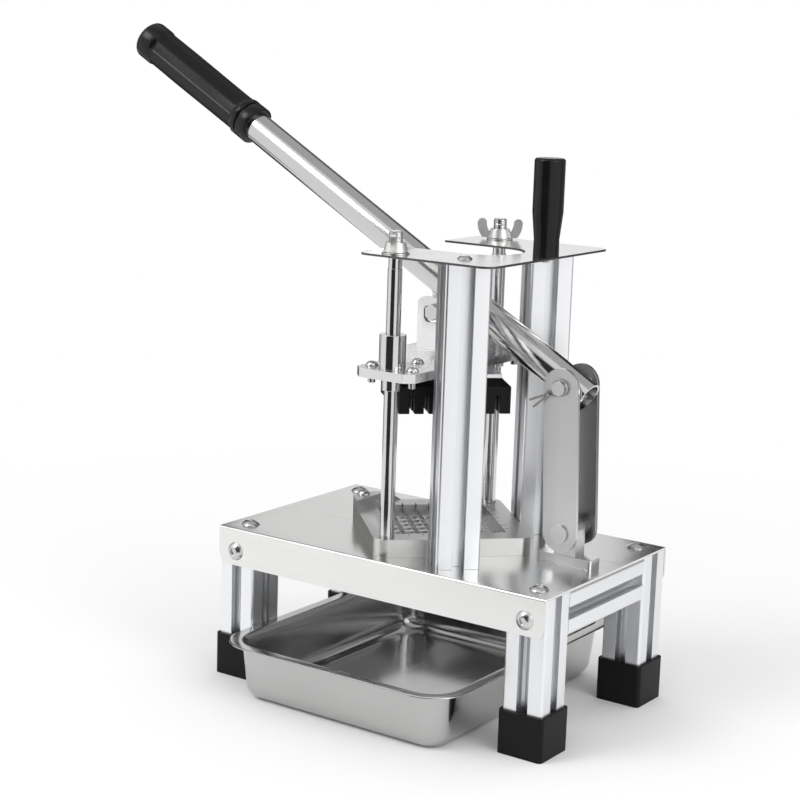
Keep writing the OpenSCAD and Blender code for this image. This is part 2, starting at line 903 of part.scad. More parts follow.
module bushing(sy) {
    color("silver") translate([press_x, sy*rod_y, bar_z]) difference() {
        union() {
            cylinder(r = bush_r, h = bar_t + bush_up);
            translate([0, 0, -bush_down]) cylinder(r = bush_collar_r, h = bush_down);
        }
        translate([0, 0, -bush_down - cut])
            cylinder(r = rod_r + run_fit, h = bush_down + bar_t + bush_up + cut*2);
    }
}

module bar_bolts() {
    color("gainsboro") for (sx = [-1, 1], sy = [-1, 1])
        translate([press_x + sx*bar_bolt_x, sy*rod_y, bar_top])
            button_screw(bar_bolt_r, bar_t + bar_bolt_tip, bar_bolt_head_r, bar_bolt_head_h);
}

// Side view of one cheek of the clevis, with the slot that the lug's bolt rides in
module cheek_outline() {
    difference() {
        rounded_box(slot_x0 - cheek_wall, bar_top - cheek_wall, slot_x1 + cheek_wall,
            slot_z1 + cheek_wall, cheek_wall);
        rounded_box(slot_x0, slot_z0, slot_x1, slot_z1, slot_reach - run_fit);
        translate([slot_x0 - cheek_wall - cut, bar_top - cheek_wall*2])
            square([slot_x1 - slot_x0 + (cheek_wall + cut)*2, cheek_wall*2]);
    }
}

module lever_clevis() {
    x0 = press_x - clevis_len/2;
    x1 = max(press_x + clevis_len/2, slot_x1 + cheek_wall);
    color("whitesmoke") difference() {
        union() {
            translate([0, 0, bar_top]) linear_extrude(clevis_t)
                rounded_box(x0, -clevis_dep/2, x1, clevis_dep/2, rail_r);
            plate_at(-cheek_y - cheek_t, cheek_t) cheek_outline();
            plate_at(cheek_y, cheek_t) cheek_outline();
        }
        for (sx = [-1, 1]) translate([press_x + sx*clevis_screw_x, 0, bar_top - cut])
            cylinder(r = bracket_bolt_r + bolt_fit, h = clevis_t + cut*2);
    }
}

module clevis_screws() {
    color("gainsboro") for (sx = [-1, 1])
        translate([press_x + sx*clevis_screw_x, 0, bar_top + clevis_t])
            button_screw(bracket_bolt_r, clevis_t + bar_t/2, bracket_head_r, bracket_head_h);
}

module pusher_plate() {
    color("whitesmoke") difference() {
        on_press(plate_z) linear_extrude(plate_t) square(plate_side, center = true);
        for (sy = [-1, 1]) translate([press_x, sy*push_bolt_y, plate_z - cut])
            cylinder(r = bar_bolt_r + run_fit, h = plate_t + cut*2);
    }
}

module pusher_screws() {
    color("gainsboro") for (sy = [-1, 1]) translate([press_x, sy*push_bolt_y, bar_top])
        button_screw(bar_bolt_r, bar_t + plate_t, bar_bolt_head_r, bar_bolt_head_h);
}

module pusher_block() {
    half = pusher_side/2;
    color("#202020") on_press(pusher_z) difference() {
        union() {
            linear_extrude(pusher_h - pusher_bevel) square(pusher_side, center = true);
            translate([0, 0, pusher_h - pusher_bevel])
                linear_extrude(pusher_bevel, scale = plate_side/pusher_side)
                    square(pusher_side, center = true);
        }
        for (i = [1:blade_count]) for (a = [0, 90]) rotate(a)
            translate([-half - cut, -die_open/2 + fry_w*i - finger_gap/2, -cut])
                cube([pusher_side + cut*2, finger_gap, finger_h + cut]);
    }
}

// Tray

// Places its children at the axes of the pan's four corners
module at_tray_corners() {
    x = tray_len/2 - tray_lip - tray_mouth_r;
    y0 = tray_y0 + tray_lip + tray_mouth_r;
    y1 = tray_y0 + tray_dep - tray_lip - tray_mouth_r;
    for (cx = [-x, x], cy = [y0, y1]) translate([tray_x + cx, cy, 0]) children();
}

// One corner of the pan's form, turned about its own axis and grown outward by t
module tray_corner(t) {
    z1 = t > 0 ? tray_h : tray_h + cut;
    rotate_extrude($fn = tray_fn) polygon([
        [0, tray_t - t],
        [tray_floor_r - tray_round + t, tray_t - t],
        [tray_floor_r - tray_round*tray_heel_share + t, tray_round*tray_heel_share + tray_t - t],
        [tray_floor_r + t, tray_round + tray_t],
        [tray_mouth_r + t, z1],
        [0, z1]
    ]);
}

// Form of the pan, grown outward by t
module tray_form(t) {
    hull() at_tray_corners() tray_corner(t);
}

module fry_tray() {
    x = tray_len/2;
    color("silver") difference() {
        union() {
            tray_form(tray_t);
            translate([tray_x, 0, tray_h - tray_t]) linear_extrude(tray_t)
                rounded_box(-x, tray_y0, x, tray_y0 + tray_dep, tray_corner_r);
        }
        tray_form(0);
    }
}

leg(-1, -1);  // leg_front_left
leg(1, -1);  // leg_front_right
leg(-1, 1);  // leg_rear_left
leg(1, 1);  // leg_rear_right
foot_cap(-1, -1);  // foot_cap_front_left
foot_cap(1, -1);  // foot_cap_front_right
foot_cap(-1, 1);  // foot_cap_rear_left
foot_cap(1, 1);  // foot_cap_rear_right
crossbar(-1);  // crossbar_left
crossbar(1);  // crossbar_right
table_plate();
table_bolts();
flange_screws();
column(-1);  // column_front
column(1);  // column_rear
column_screws();
head_plate();
support_handle();
handle_screw();
guide_rod(-1);  // guide_rod_front
guide_rod(1);  // guide_rod_rear
rod_nuts();
rod_washers();
wing_nut(-1, wing_turn_front);  // wing_nut_front
wing_nut(1, wing_turn_rear);  // wing_nut_rear
die_frame();
blades_lower();
blades_upper();
die_bolt();
die_nut();
base_bracket();
bracket_screws();
foot_spacers();
foot_pin();
link_plate_front();
link_plate_rear();
fulcrum_pin();
hairpin_clip();
lever_tube();
fulcrum_bush();
lever_lug();
lug_bolt();
lug_nut();
lever_grip();
crosshead_bar();
bushing(-1);  // bushing_front
bushing(1);  // bushing_rear
bar_bolts();
lever_clevis();
clevis_screws();
pusher_plate();
pusher_screws();
pusher_block();
fry_tray();
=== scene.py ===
"""French fry cutter: finishes, shown detail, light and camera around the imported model."""
import json
import logging
import math
from dataclasses import dataclass, field
from enum import Enum
from typing import Sequence, Union

import bmesh
import bpy
from mathutils import Matrix, Vector


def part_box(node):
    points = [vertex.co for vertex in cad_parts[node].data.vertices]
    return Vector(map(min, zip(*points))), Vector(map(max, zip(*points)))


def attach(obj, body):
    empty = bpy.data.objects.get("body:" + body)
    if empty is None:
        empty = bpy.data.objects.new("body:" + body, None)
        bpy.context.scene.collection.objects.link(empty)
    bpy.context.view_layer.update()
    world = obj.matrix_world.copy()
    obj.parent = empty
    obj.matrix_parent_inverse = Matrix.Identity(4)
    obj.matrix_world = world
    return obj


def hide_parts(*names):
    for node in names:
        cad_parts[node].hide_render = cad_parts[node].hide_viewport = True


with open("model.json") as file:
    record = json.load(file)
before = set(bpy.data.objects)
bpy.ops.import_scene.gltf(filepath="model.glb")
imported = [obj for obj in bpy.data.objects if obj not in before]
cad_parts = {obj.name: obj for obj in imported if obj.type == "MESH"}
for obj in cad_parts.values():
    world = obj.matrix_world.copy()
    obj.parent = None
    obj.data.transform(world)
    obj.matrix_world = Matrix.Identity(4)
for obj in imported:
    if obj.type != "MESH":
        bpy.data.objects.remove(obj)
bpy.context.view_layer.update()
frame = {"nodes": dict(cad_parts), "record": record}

LOG = logging.getLogger("fry_cutter")

Colour = tuple[float, float, float]
Point = tuple[float, float, float]
Section = tuple[float, float]
Sockets = dict[Union[int, str], object]

MM = 0.001
FULCRUM: Point = (0.096, 0.0, 0.224)
UP: Point = (0.0, 0.0, 1.0)
CRISP_ABOVE = math.radians(32.0)  # Edges that turn more than this stay sharp.
MIDDLE = 0.5  # The middle of a noise's range.


# Shader trees


class Output(Enum):
    """What a shader tree ends in."""

    MATERIAL = "ShaderNodeOutputMaterial"
    WORLD = "ShaderNodeOutputWorld"


class Signal:
    """A value in a shader tree, on which Python's arithmetic adds Math nodes."""

    def __init__(self, tree: "ShaderTree", socket: bpy.types.NodeSocket) -> None:
        """Hold one output socket.

        Args:
            tree: The tree that the socket is in.
            socket: The output that carries the value.
        """
        self.tree = tree
        self.socket = socket

    def maths(self, operation: str, *operands: "Operand") -> "Signal":
        """Add a Math node.

        Args:
            operation: The node's operation.
            operands: Its inputs in order, signals or numbers.

        Returns:
            The node's value.
        """
        node = self.tree.nodes.new("ShaderNodeMath")
        node.operation = operation
        for socket, operand in zip(node.inputs, operands):
            self.tree.feed(socket, operand)
        return Signal(self.tree, node.outputs[0])

    def __add__(self, other: "Operand") -> "Signal":
        """Return the sum."""
        return self.maths("ADD", self, other)

    def __radd__(self, other: "Operand") -> "Signal":
        """Return the sum, from the right."""
        return self.maths("ADD", other, self)

    def __sub__(self, other: "Operand") -> "Signal":
        """Return the difference."""
        return self.maths("SUBTRACT", self, other)

    def __rsub__(self, other: "Operand") -> "Signal":
        """Return the difference, from the right."""
        return self.maths("SUBTRACT", other, self)

    def __mul__(self, other: "Operand") -> "Signal":
        """Return the product."""
        return self.maths("MULTIPLY", self, other)

    def __rmul__(self, other: "Operand") -> "Signal":
        """Return the product, from the right."""
        return self.maths("MULTIPLY", other, self)

    def at_most(self, other: "Operand") -> "Signal":
        """Return the smaller value."""
        return self.maths("MINIMUM", self, other)

    def at_least(self, other: "Operand") -> "Signal":
        """Return the larger value."""
        return self.maths("MAXIMUM", self, other)

    def over(self, low: float, high: float) -> "Signal":
        """Return 0 below low, 1 above high and an even rise between them."""
        inputs = {"Value": self, "From Min": low, "From Max": high}
        return self.tree.node("ShaderNodeMapRange", inputs, clamp=True)


Operand = Union[Signal, float]


class ShaderTree:
    """A material's or the world's node tree, with one method for any node."""

    def __init__(self, owner: Union[bpy.types.Material, bpy.types.World]) -> None:
        """Empty the owner's tree.

        Args:
            owner: The material or world to build in.
        """
        owner.use_nodes = True
        self.nodes = owner.node_tree.nodes
        self.links = owner.node_tree.links
        self.nodes.clear()

    def feed(self, socket: bpy.types.NodeSocket, value: object) -> None:
        """Link a signal to an input, or set its constant.

        Args:
            socket: The input.
            value: A Signal, a number or a tuple.
        """
        if isinstance(value, Signal):
            self.links.new(value.socket, socket)
        else:
            socket.default_value = value

    def node(self, kind: str, inputs: Sockets, out: Union[int, str] = 0,
             **settings: object) -> Signal:
        """Add any node.

        Args:
            kind: The node's type.
            inputs: Input name or number to a signal or constant.
            out: The output to return.
            settings: The node's own properties.

        Returns:
            The chosen output.
        """
        node = self.nodes.new(kind)
        for name, value in settings.items():
            setattr(node, name, value)
        for key, value in inputs.items():
            self.feed(node.inputs[key], value)
        return Signal(self, node.outputs[out])

    def show(self, surface: Signal, output: Output = Output.MATERIAL) -> None:
        """End the tree in its output node, which shows the surface."""
        self.feed(self.nodes.new(output.value).inputs["Surface"], surface)

    def place(self, scale: Point = (1.0, 1.0, 1.0)) -> Signal:
        """Return the object's own coordinates, times scale."""
        place = self.node("ShaderNodeTexCoord", {}, "Object")
        return self.node("ShaderNodeMapping", {"Vector": place, "Scale": scale})

    def noise(self, grains: Point, detail: float, rough: float) -> Signal:
        """Return noise from 0 to 1 with that many grains a metre along each axis."""
        inputs = {"Vector": self.place(grains), "Scale": 1.0, "Detail": detail, "Roughness": rough}
        return self.node("ShaderNodeTexNoise", inputs, "Fac")

    def pointiness(self) -> Signal:
        """Return the surface's curve, over a half on an edge and under it in a hollow."""
        return self.node("ShaderNodeNewGeometry", {}, "Pointiness")

    def blend(self, share: Signal, low: Colour, high: Colour) -> Signal:
        """Return a colour between low, at share 0, and high, at share 1."""
        inputs = {"Factor": share, 6: (*low, 1.0), 7: (*high, 1.0)}
        return self.node("ShaderNodeMix", inputs, 2, data_type="RGBA")

    def bump(self, height: Signal, distance: float) -> Signal:
        """Return a normal for a relief that is distance metres deep."""
        inputs = {"Height": height, "Distance": distance, "Strength": 1.0}
        return self.node("ShaderNodeBump", inputs, "Normal")

    def glow(self, tone: float) -> Signal:
        """Return an even emission that shows as a grey of that tone."""
        return self.node("ShaderNodeEmission", {"Color": grey(tone), "Strength": 1.0})


# Finishes


def grey(tone: float) -> tuple[float, ...]:
    """Return a grey with full alpha."""
    return (tone, tone, tone, 1.0)


def shade(colour: Colour, factor: float, lift: float = 0.0) -> Colour:
    """Return the colour times factor, plus lift."""
    return tuple(part * factor + lift for part in colour)


def even(grains: float) -> Point:
    """Return the same number of grains a metre for all three axes."""
    return (grains, grains, grains)


@dataclass(frozen=True)
class Finish:
    """A surface finish. Its subclasses add the detail of their kind."""

    name: str
    colour: Colour
    roughness: float
    metallic: float = 0.0

    def material(self) -> bpy.types.Material:
        """Make the finish's material the first time, and find it again after that.

        Returns:
            The material.
        """
        made = bpy.data.materials.get(self.name)
        if made is None:
            made = bpy.data.materials.new(self.name)
            tree = ShaderTree(made)
            inputs = {
                "Metallic": self.metallic,
                "Roughness": self.roughness,
                "Base Color": (*self.colour, 1.0),
            }
            inputs.update(self.detail(tree))
            tree.show(tree.node("ShaderNodeBsdfPrincipled", inputs))
        return made

    def detail(self, tree: ShaderTree) -> Sockets:
        """Return the shader's inputs that this kind of finish varies or adds."""
        return {}


class Grain(Enum):
    """The direction of a brushed finish, as grains a metre along each axis."""

    ALONG_X = (3.0, 900.0, 900.0)
    ALONG_Y = (900.0, 3.0, 900.0)
    ALONG_Z = (900.0, 900.0, 3.0)
    EVEN = (700.0, 700.0, 700.0)


@dataclass(frozen=True)
class BrushedMetal(Finish):
    """Metal with fine lines one way, faint smears and scattered scratches.

    Spread is how much the lines vary the roughness, and tone how much darker the dullest place is.
    """

    metallic: float = 1.0
    grain: Grain = Grain.ALONG_X
    line_depth: float = 0.000004
    spread: float = 0.10
    tone: float = 0.08
    smear_grains: float = 14.0
    smear_gloss: float = 0.8
    scratch_grains: float = 0.35
    scratch_gloss: float = 0.04
    scratch_depth: float = 0.4
    least_rough: float = 0.03

    def detail(self, tree: ShaderTree) -> Sockets:
        """Put lines in the relief and gloss, and smears in the tone.

        Args:
            tree: The material's tree.

        Returns:
            The shader's inputs that vary.
        """
        lines = tree.noise(self.grain.value, detail=3.0, rough=0.6)
        smears = tree.noise(even(self.smear_grains), detail=3.0, rough=0.55)
        sparse = tuple(grains * self.scratch_grains for grains in self.grain.value)
        scratches = tree.noise(sparse, detail=2.0, rough=0.4).over(0.62, 0.70)
        rough = self.roughness + (lines - MIDDLE) * self.spread
        rough = rough + (smears - MIDDLE) * (self.spread * self.smear_gloss)
        tone = (lines * 0.5 + smears * 0.5).over(0.3, 0.7)
        return {
            "Roughness": (rough + scratches * self.scratch_gloss).at_least(self.least_rough),
            "Base Color": tree.blend(tone, shade(self.colour, 1.0 - self.tone), self.colour),
            "Normal": tree.bump(lines + scratches * self.scratch_depth, self.line_depth),
        }


@dataclass(frozen=True)
class PolishedMetal(Finish):
    """Bright plated or polished metal with slight waves and finger smears.

    Wave is the waves' height, and smear how much rougher a smear is.
    """

    metallic: float = 1.0
    wave: float = 0.00002
    smear: float = 0.08
    wave_grains: float = 60.0
    smear_grains: float = 35.0
    smear_tone: float = 0.94
    fine_grains: float = 900.0
    fine_gloss: float = 0.03
    fine_depth: float = 0.02
    least_rough: float = 0.02

    def detail(self, tree: ShaderTree) -> Sockets:
        """Put smears in the gloss and a slow wave in the relief.

        Args:
            tree: The material's tree.

        Returns:
            The shader's inputs that vary.
        """
        smears = tree.noise(even(self.smear_grains), detail=4.0, rough=0.6)
        fine = tree.noise(even(self.fine_grains), detail=2.0, rough=0.5)
        wave = tree.noise(even(self.wave_grains), detail=1.0, rough=0.4)
        rough = self.roughness + smears.over(0.4, 0.75) * self.smear
        rough = rough + (fine - MIDDLE) * self.fine_gloss
        return {
            "Roughness": rough.at_least(self.least_rough),
            "Base Color": tree.blend(smears, shade(self.colour, self.smear_tone), self.colour),
            "Normal": tree.bump(wave + fine * self.fine_depth, self.wave),
        }


@dataclass(frozen=True)
class CastMetal(Finish):
    """Sand-cast and blasted metal with a fine tooth, darker hollows and rubbed edges."""

    metallic: float = 1.0
    tooth: float = 0.00006
    pit_grains: float = 900.0
    mottle_grains: float = 70.0
    mottle_gloss: float = 0.16
    mottle_depth: float = 0.3
    rub_gloss: float = 0.08
    dark: float = 0.84
    bright: float = 1.06

    def detail(self, tree: ShaderTree) -> Sockets:
        """Put pits in the relief, an uneven gloss and edges rubbed brighter.

        Args:
            tree: The material's tree.

        Returns:
            The shader's inputs that vary.
        """
        pits = tree.noise(even(self.pit_grains), detail=3.0, rough=0.65)
        mottle = tree.noise(even(self.mottle_grains), detail=4.0, rough=0.6)
        rub = tree.pointiness().over(0.51, 0.60)
        tone = (mottle * 0.6 + pits * 0.25 + rub * 0.4).over(0.2, 0.9)
        dark, bright = shade(self.colour, self.dark), shade(self.colour, self.bright)
        rough = self.roughness + (mottle - MIDDLE) * self.mottle_gloss
        return {
            "Roughness": rough - rub * self.rub_gloss,
            "Base Color": tree.blend(tone, dark, bright),
            "Normal": tree.bump(pits + mottle * self.mottle_depth, self.tooth),
        }


@dataclass(frozen=True)
class MouldedPlastic(Finish):
    """Black moulded plastic or rubber with a fine grain, dust and worn edges.

    Gloss is the shader's own specular level, the same all over.
    """

    grain_size: float = 1300.0
    grain_depth: float = 0.00003
    grain_gloss: float = 0.12
    dust_grains: float = 45.0
    dust_gloss: float = 0.08
    wear: float = 0.5
    worn: float = 1.7
    worn_lift: float = 0.005
    gloss: float = 0.17

    def detail(self, tree: ShaderTree) -> Sockets:
        """Put a grain in the relief, dusty patches and paler edges.

        Args:
            tree: The material's tree.

        Returns:
            The shader's inputs that vary, and the specular level.
        """
        grain = tree.noise(even(self.grain_size), detail=2.0, rough=0.6)
        dust = tree.noise(even(self.dust_grains), detail=4.0, rough=0.65).over(0.45, 0.85)
        edge = tree.pointiness().over(0.52, 0.62)
        pale = (dust * 0.35 + edge * self.wear + grain * 0.15).at_most(1.0)
        worn = shade(self.colour, self.worn, self.worn_lift)
        rough = self.roughness + (grain - MIDDLE) * self.grain_gloss
        return {
            "Roughness": rough + dust * self.dust_gloss,
            "Base Color": tree.blend(pale, self.colour, worn),
            "Specular IOR Level": self.gloss,
            "Normal": tree.bump(grain, self.grain_depth),
        }


RAIL_Y = BrushedMetal(
    "satin_rail_y", (0.88, 0.89, 0.91), 0.33, grain=Grain.ALONG_Y, spread=0.05, tone=0.04,
    line_depth=0.0000015)
RAIL_Z = BrushedMetal(
    "satin_rail_z", (0.88, 0.89, 0.91), 0.33, grain=Grain.ALONG_Z, spread=0.05, tone=0.04,
    line_depth=0.0000015)
SHEET = BrushedMetal(
    "brushed_sheet", (0.84, 0.84, 0.83), 0.23, grain=Grain.ALONG_X, spread=0.12, tone=0.10)
HEAD_SHEET = BrushedMetal(
    "brushed_head_sheet", (0.88, 0.88, 0.87), 0.2, grain=Grain.ALONG_Y, spread=0.10)
# Painted shade: a dark finish for the head plate's upright edge faces, which lie in shadow.
PAINTED_SHADE_EDGE = BrushedMetal("painted_shade_edge", (0.13, 0.13, 0.13), 0.42, grain=Grain.EVEN, spread=0.12)
LINK_STEEL = BrushedMetal("link_steel", (0.80, 0.80, 0.80), 0.34, grain=Grain.ALONG_Z, spread=0.12)
# Painted shade: a darker copy of the link steel for the rear link plate, which sits in shade.
SHADED_LINK_STEEL = BrushedMetal(
    "painted_shade_link_steel", (0.38, 0.38, 0.38), 0.30, grain=Grain.ALONG_Z, spread=0.12)
PIN_STEEL = BrushedMetal("pin_steel", (0.84, 0.84, 0.83), 0.36, grain=Grain.EVEN, spread=0.12)
SPRING_WIRE = PolishedMetal("spring_wire", (0.34, 0.34, 0.335), 0.16)
PAN = BrushedMetal(
    "pan_steel", (0.54, 0.54, 0.535), 0.15, grain=Grain.ALONG_Y, spread=0.08,
    line_depth=0.000002)
BLADE = BrushedMetal("ground_blade", (0.74, 0.74, 0.74), 0.2, grain=Grain.ALONG_Z, spread=0.1)
TUBE = PolishedMetal("polished_tube", (0.62, 0.62, 0.615), 0.13, wave=0.000003, smear=0.015)
ROD = PolishedMetal("ground_rod", (0.68, 0.68, 0.675), 0.07, wave=0.000008)
FASTENER = PolishedMetal("plated_fastener", (0.64, 0.64, 0.64), 0.2, smear=0.14)
CASTING = CastMetal("blasted_casting", (0.68, 0.68, 0.67), 0.38)
WING_CASTING = CastMetal("wing_casting", (0.80, 0.80, 0.79), 0.42)
BRIGHT_CASTING = CastMetal("bright_casting", (0.80, 0.80, 0.80), 0.3)
BLACK_GRIP = MouldedPlastic("moulded_black_grip", (0.0045, 0.0045, 0.0048), 0.22, gloss=0.27)
BLACK_PUSHER = MouldedPlastic("moulded_black_pusher", (0.003, 0.003, 0.0034), 0.34)
RUBBER = MouldedPlastic("black_rubber", (0.0035, 0.0035, 0.004), 0.42, grain_size=900.0)


# Meshes


def body_of(node: str) -> str:
    """Find the body that carries a CAD node.

    Args:
        node: The CAD node.

    Returns:
        The body's name.
    """
    for body, nodes in frame["record"]["behaviour"]["bodies"].items():
        if node in nodes:
            return body
    raise KeyError(node)


def keep_mesh(name: str, bm: bmesh.types.BMesh) -> bpy.types.Mesh:
    """Write an edited mesh to a new one, and free it.

    Args:
        name: The new mesh's name.
        bm: The edited mesh.

    Returns:
        The new mesh.
    """
    mesh = bpy.data.meshes.new(name)
    bm.to_mesh(mesh)
    bm.free()
    return mesh


def linked(obj: bpy.types.Object) -> bpy.types.Object:
    """Return the object, put into the scene."""
    bpy.context.scene.collection.objects.link(obj)
    return obj


def mesh_object(name: str, mesh: bpy.types.Mesh) -> bpy.types.Object:
    """Put a mesh into the scene at the origin, smooth except at its edges.

    Args:
        name: The object's name.
        mesh: Its mesh, in metres.

    Returns:
        The object.
    """
    mesh.shade_smooth()
    mesh.set_sharp_from_angle(angle=CRISP_ABOVE)
    return linked(bpy.data.objects.new(name, mesh))


def loft(name: str, rings: Sequence[Sequence[Point]]) -> bpy.types.Object:
    """Skin closed rings of equal count in order, with a flat face at both ends.

    Args:
        name: The object's name.
        rings: Rings of points in metres.

    Returns:
        The object, with its faces outward.
    """
    bm = bmesh.new()
    loops = [[bm.verts.new(point) for point in ring] for ring in rings]
    for low, high in zip(loops, loops[1:]):
        for i in range(len(low)):
            j = (i + 1) % len(low)
            bm.faces.new((low[i], low[j], high[j], high[i]))
    bm.faces.new(list(reversed(loops[0])))
    bm.faces.new(loops[-1])
    bmesh.ops.recalc_face_normals(bm, faces=bm.faces)
    return mesh_object(name, keep_mesh(name, bm))


def empty_carrier(name: str) -> bpy.types.Object:
    """Return an object with an empty mesh, for a tree that makes its own geometry."""
    return linked(bpy.data.objects.new(name, bpy.data.meshes.new(name)))


def path_carrier(name: str, points: Sequence[Point]) -> bpy.types.Object:
    """Make a curve object for a tree that follows a path.

    Args:
        name: The object's name.
        points: The points of its one open spline.

    Returns:
        The object.
    """
    curve = bpy.data.curves.new(name, "CURVE")
    curve.dimensions = "3D"
    spline = curve.splines.new("POLY")
    spline.points.add(len(points) - 1)
    for target, point in zip(spline.points, points):
        target.co = (*point, 1.0)
    return linked(bpy.data.objects.new(name, curve))


class SizeKind(Enum):
    """What a named size of a Geometry Nodes tree is."""

    NUMBER = "NodeSocketFloat"
    VECTOR = "NodeSocketVector"


class NodeShape:
    """A Geometry Nodes tree that ends in Realize Instances and Set Material."""

    def __init__(self, name: str, finish: Finish) -> None:
        """Start a tree.

        Args:
            name: The tree's name.
            finish: The finish that Set Material gives.
        """
        self.name = name
        self.finish = finish
        self.group = bpy.data.node_groups.new(name, "GeometryNodeTree")
        for way in ("INPUT", "OUTPUT"):
            self.group.interface.new_socket(
                "Geometry", in_out=way, socket_type="NodeSocketGeometry")
        self.entry = self.group.nodes.new("NodeGroupInput")
        self.values: dict[str, Union[float, Point]] = {}

    def size(self, name: str, value: Union[float, Point],
             kind: SizeKind = SizeKind.NUMBER) -> bpy.types.NodeSocket:
        """Add a named input.

        Args:
            name: The input's name.
            value: The value that the modifier gets.
            kind: What the value is.

        Returns:
            The input as the tree sees it.
        """
        made = self.group.interface.new_socket(name, in_out="INPUT", socket_type=kind.value)
        self.values[made.identifier] = value
        return self.entry.outputs[name]

    def node(self, kind: str, inputs: Sockets) -> bpy.types.NodeSocket:
        """Add any node.

        Args:
            kind: The node's type.
            inputs: Input name or number to an output socket or constant.

        Returns:
            The node's first output.
        """
        node = self.group.nodes.new(kind)
        for key, value in inputs.items():
            if isinstance(value, bpy.types.NodeSocket):
                self.group.links.new(value, node.inputs[key])
            else:
                node.inputs[key].default_value = value
        return node.outputs[0]

    def tube(self, path: bpy.types.NodeSocket, radius: bpy.types.NodeSocket,
             sides: int) -> bpy.types.NodeSocket:
        """Sweep a closed round tube along a path.

        Args:
            path: The curve to follow.
            radius: The tube's radius.
            sides: The sides of its section.

        Returns:
            The tube's mesh.
        """
        section = {"Resolution": sides, "Radius": radius}
        ring = self.node("GeometryNodeCurvePrimitiveCircle", section)
        sweep = {"Curve": path, "Profile Curve": ring, "Fill Caps": True}
        return self.node("GeometryNodeCurveToMesh", sweep)

    def build(self, shape: bpy.types.NodeSocket, carrier: bpy.types.Object) -> bpy.types.Object:
        """Finish the tree, run it on a carrier object and keep only its mesh.

        Args:
            shape: The geometry to show.
            carrier: The object that the modifier sits on. It is removed.

        Returns:
            A plain mesh object.
        """
        real = self.node("GeometryNodeRealizeInstances", {0: shape})
        dressed = self.node(
            "GeometryNodeSetMaterial", {0: real, "Material": self.finish.material()})
        exit_node = self.group.nodes.new("NodeGroupOutput")
        self.group.links.new(dressed, exit_node.inputs[0])
        modifier = carrier.modifiers.new(self.name, "NODES")
        modifier.node_group = self.group
        for identifier, value in self.values.items():
            modifier[identifier] = value
        graph = bpy.context.evaluated_depsgraph_get()
        mesh = bpy.data.meshes.new_from_object(carrier.evaluated_get(graph), depsgraph=graph)
        mesh.name = self.name
        carrier.modifiers.remove(modifier)
        bpy.data.objects.remove(carrier)
        return mesh_object(self.name, mesh)


# Sub-assemblies


@dataclass
class SubAssembly:
    """Pieces that are dressed together.

    Edge is the width of their softened edges, and cast gives the rounder edges of cast pieces.
    """

    edge: float = 0.3 * MM
    edge_steps: int = 2
    cast: dict[str, float] = field(default_factory=dict)
    cast_steps: int = 3
    weld: float = 0.002 * MM
    sliver: float = 0.001 * MM
    flat_within: float = math.radians(0.4)
    edge_above: float = math.radians(34.0)

    def looks(self) -> dict[str, Finish]:
        """Return the finish of each CAD node that is shown in its own shape."""
        return {}

    def dress(self) -> None:
        """Give every such node its finish and softened edges."""
        for node, finish in self.looks().items():
            self.soften(node, finish)

    def soften(self, node: str, finish: Finish) -> None:
        """Replace a CAD node by a merged copy with small rounded edges.

        Args:
            node: The CAD node.
            finish: Its finish.
        """
        bm = bmesh.new()
        bm.from_mesh(frame["nodes"][node].data)
        bmesh.ops.remove_doubles(bm, verts=bm.verts, dist=self.weld)
        bmesh.ops.dissolve_degenerate(bm, dist=self.sliver, edges=bm.edges)
        bmesh.ops.dissolve_limit(
            bm, angle_limit=self.flat_within, verts=bm.verts, edges=bm.edges)
        mesh = keep_mesh(node + "_shown", bm)
        mesh.materials.clear()
        mesh.materials.append(finish.material())
        obj = mesh_object(node + "_shown", mesh)
        bevel = obj.modifiers.new("soft_edges", "BEVEL")
        bevel.width = self.cast.get(node, self.edge)
        bevel.segments = self.cast_steps if node in self.cast else self.edge_steps
        bevel.limit_method = "ANGLE"
        bevel.angle_limit = self.edge_above
        bevel.harden_normals = True
        bevel.use_clamp_overlap = True
        self.stand_in(obj, node)

    def stand_in(self, obj: bpy.types.Object, node: str) -> None:
        """Let a finished piece stand for a CAD node, on its body.

        Args:
            obj: The piece.
            node: The CAD node that it hides.
        """
        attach(obj, body_of(node))
        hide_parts(node)
        LOG.info("%s stands for %s", obj.name, node)

    def add(self, obj: bpy.types.Object, body: str, slot: str) -> None:
        """Let an added piece ride a body.

        Args:
            obj: The piece.
            body: The body's name.
            slot: The record's material slot. It is not used.
        """
        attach(obj, body)
        LOG.info("%s rides %s", obj.name, body)


@dataclass
class Stand(SubAssembly):
    """Legs, caps, crossbars and the folded table."""

    ends: tuple[str, ...] = ("front_left", "front_right", "rear_left", "rear_right")

    def looks(self) -> dict[str, Finish]:
        """Return the finishes of the stand."""
        finishes: dict[str, Finish] = {}
        for end in self.ends:
            finishes["leg_" + end] = RAIL_Z
            finishes["foot_cap_" + end] = RUBBER
        finishes.update({
            "crossbar_left": RAIL_Y,
            "crossbar_right": RAIL_Y,
            "table_plate": SHEET,
            "table_bolts": FASTENER,
            "flange_screws": FASTENER,
        })
        return finishes


